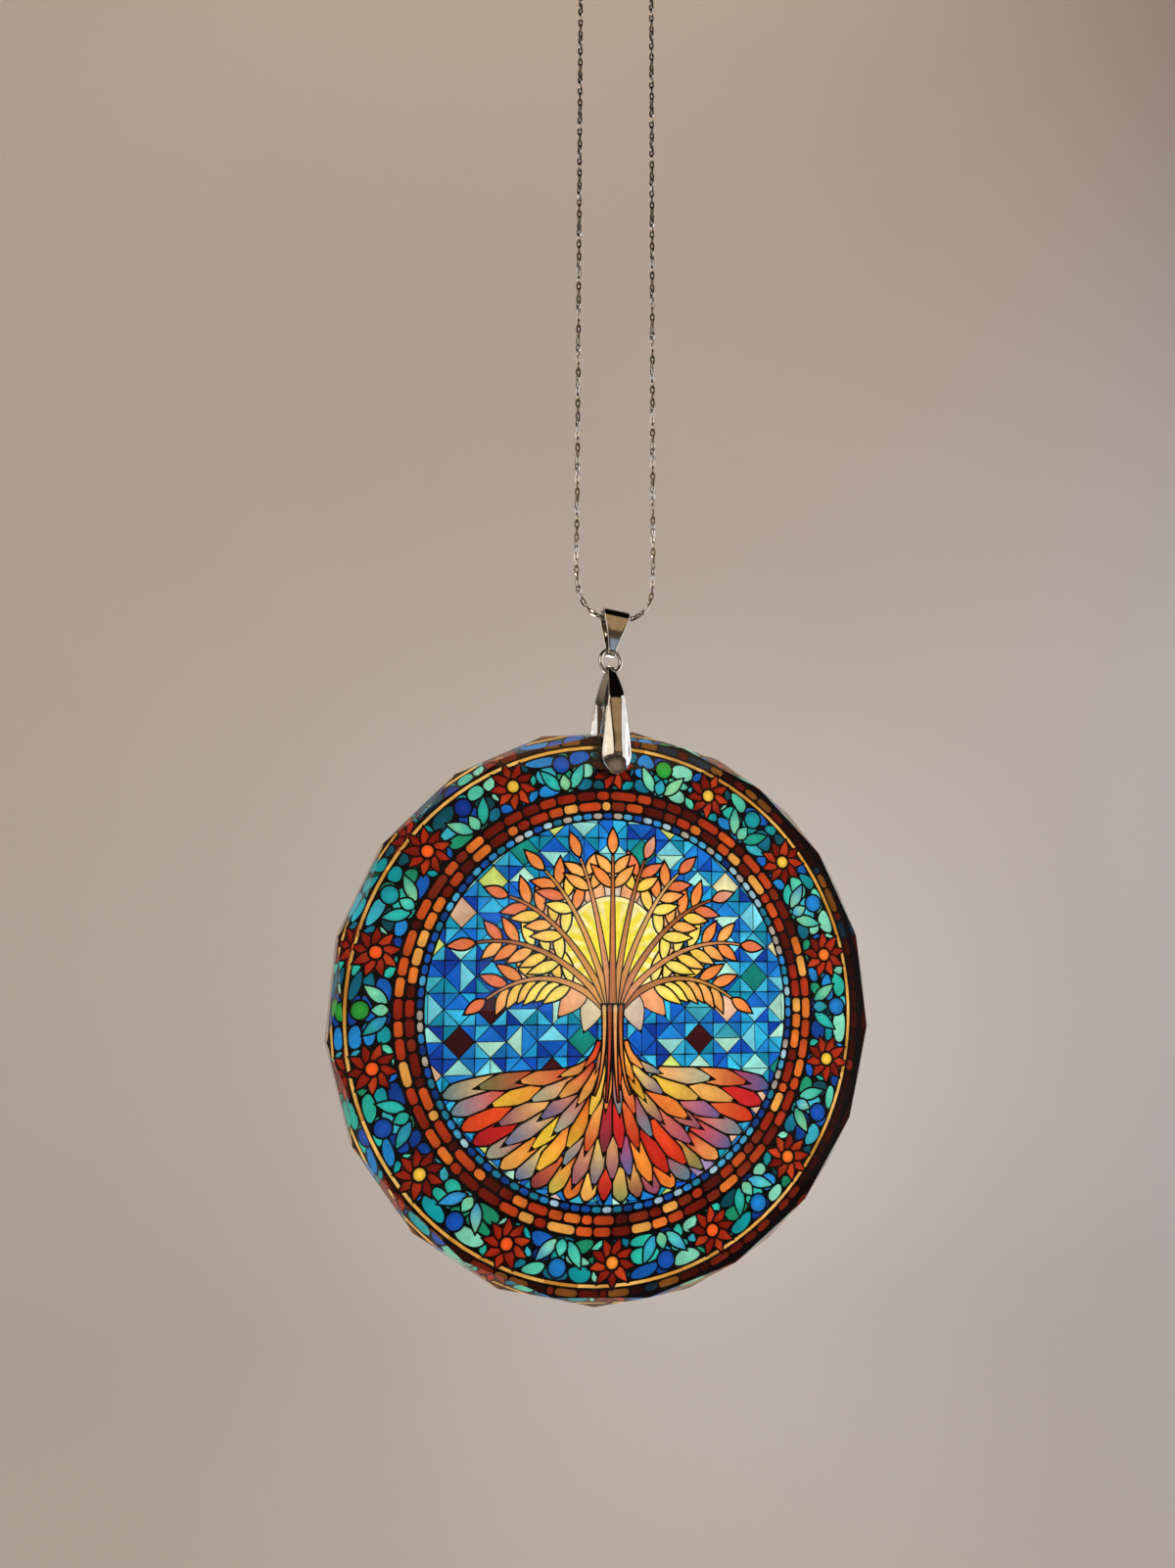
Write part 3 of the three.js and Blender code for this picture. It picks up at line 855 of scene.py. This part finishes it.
def makeStage(plan):
    turn = np.linspace(-math.pi / 2, 0, 24)
    curve = np.stack([plan["wall"] - plan["sweep"] + plan["sweep"] * np.cos(turn),
                      plan["floor"] + plan["sweep"] + plan["sweep"] * np.sin(turn)], 1)
    profile = np.vstack([[(plan["front"], plan["floor"])], curve, [(plan["wall"], plan["top"])]])
    sides = (-plan["halfWidth"], plan["halfWidth"])
    points = np.concatenate([np.insert(profile, 0, x, axis=1) for x in sides])
    faces = gridFaces(2, len(profile), False, False)
    material, tree, out = newMaterial("warm_white_plaster")
    coords = addNode(tree, "ShaderNodeTexCoord").outputs["Object"]
    cloud = addNode(tree, "ShaderNodeTexNoise", {"Vector": coords, "Scale": 5.0, "Detail": 2.0})
    tone = addNode(tree, "ShaderNodeMix", {0: cloud.outputs[0], 6: colour4("#cfc4b8"), 7: colour4("#d6ccc1")},
                   data_type="RGBA")
    paint = addNode(tree, "ShaderNodeBsdfPrincipled", {"Base Color": tone.outputs[2], "Roughness": 0.9})
    tree.links.new(paint.outputs[0], out.inputs["Surface"])
    stage = newPiece("backdrop", (points - discMiddle) / mm, faces, [material])


makeStage(stagePlan)


# LIGHT: a soft room, a lamp behind the disc that makes it glow, and soft panels for the metal to mirror
lightPlan = {
    "room": {"horizon": "#8c765f", "above": "#1d1713", "strength": 0.4},
    "lamps": [
        # name, place and target in metres from the disc's middle, width and height, watts, colour
        ("glow_lamp", (0.03, 0.17, 0.0), (0, 0, 0), (0.08, 0.08), 0.4, "#fffaf2"),
        ("halo_lamp", (0.16, 0.16, -0.05), (0.16, 0.4, -0.05), (0.1, 0.1), 0.2, "#e4f0ff"),
        ("right_wash", (0.8, -0.05, 0.05), (0.7, 0.36, 0.05), (0.3, 0.6), 1.75, "#dce6ff"),
        ("left_wash", (-0.35, -0.05, 0.0), (-0.2, 0.36, 0.0), (0.3, 0.6), 0.68, "#eaf0ff"),
        ("left_panel", (-0.43, -0.4, 0.22), (0, 0, 0.04), (0.42, 0.42), 0.8, "#fff1da"),
        ("right_panel", (0.48, -0.15, 0.14), (0, 0, 0.04), (0.52, 0.45), 0.9, "#ffffff"),
        ("brown_panel", (0.083, -0.471, 0.19), (0, 0, 0.04), (0.5, 0.16), 0.11, "#ffd195"),
        ("low_panel", (0.134, -0.482, 0.009), (0, 0, 0.055), (0.1, 0.065), 0.012, "#a8cdf0"),
        ("top_panel", (0.0, 0.05, 0.9), (0, 0.36, 0.1), (0.6, 0.6), 3.05, "#ffebda"),
    ],
    "unmirrored": ("top_panel",),  # lights the wall alone, so the metal's upper faces stay dark
}


def makeLights(plan):
    world = bpy.data.worlds.new("room")
    world.use_nodes = True
    tree, room = world.node_tree, plan["room"]
    tree.nodes.clear()
    coords = addNode(tree, "ShaderNodeTexCoord").outputs["Generated"]
    height = addNode(tree, "ShaderNodeSeparateXYZ", {0: coords}).outputs["Z"]
    share = addNode(tree, "ShaderNodeMapRange", {"Value": height, "From Min": 0.0, "From Max": 0.5})
    tone = addNode(tree, "ShaderNodeMix", {0: share.outputs[0], 6: colour4(room["horizon"]),
                                           7: colour4(room["above"])}, data_type="RGBA")
    sky = addNode(tree, "ShaderNodeBackground", {"Color": tone.outputs[2], "Strength": room["strength"]})
    addNode(tree, "ShaderNodeOutputWorld", {"Surface": sky.outputs[0]})
    bpy.context.scene.world = world
    for name, place, target, size, watts, hexText in plan["lamps"]:
        data = bpy.data.lights.new(name, "AREA")
        data.shape, data.energy, data.color = "RECTANGLE", watts, linear(hexText)
        data.size, data.size_y = size
        lamp = bpy.data.objects.new(name, data)
        lamp.location = Vector(discMiddle) + Vector(place)
        lamp.rotation_euler = (Vector(target) - Vector(place)).to_track_quat("-Z", "Y").to_euler()
        lamp.visible_camera = False
        lamp.visible_glossy = name not in plan["unmirrored"]
        bpy.context.scene.collection.objects.link(lamp)


makeLights(lightPlan)
bpy.context.scene.view_settings.view_transform = "Standard"
print("stage and lights set")
